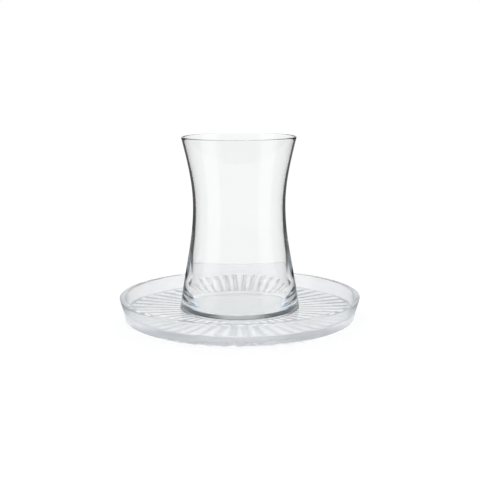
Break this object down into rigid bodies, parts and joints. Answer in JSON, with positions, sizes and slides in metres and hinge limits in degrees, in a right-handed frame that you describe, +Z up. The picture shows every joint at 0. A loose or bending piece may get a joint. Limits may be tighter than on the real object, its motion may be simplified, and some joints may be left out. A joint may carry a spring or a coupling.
{
  "type": "tea glass with saucer",
  "caption": "Narrow-waisted clear tea glass with a flared rim, standing on a low clear saucer with radial ribs pressed into its underside.",
  "frame": {"origin": "centre of the flat disc that the saucer stands on", "axes": "+Z up along the common axis of the glass and the saucer; both are round, and the picture was taken from the -Y side"},
  "size_m": [0.12, 0.12, 0.0916],
  "materials": {
    "clear_glass": "gloss",
    "pressed_glass": "gloss"
  },
  "bodies": {
    "root": {"tea_glass": "clear_glass", "saucer": "pressed_glass"}
  },
  "joints": []
}
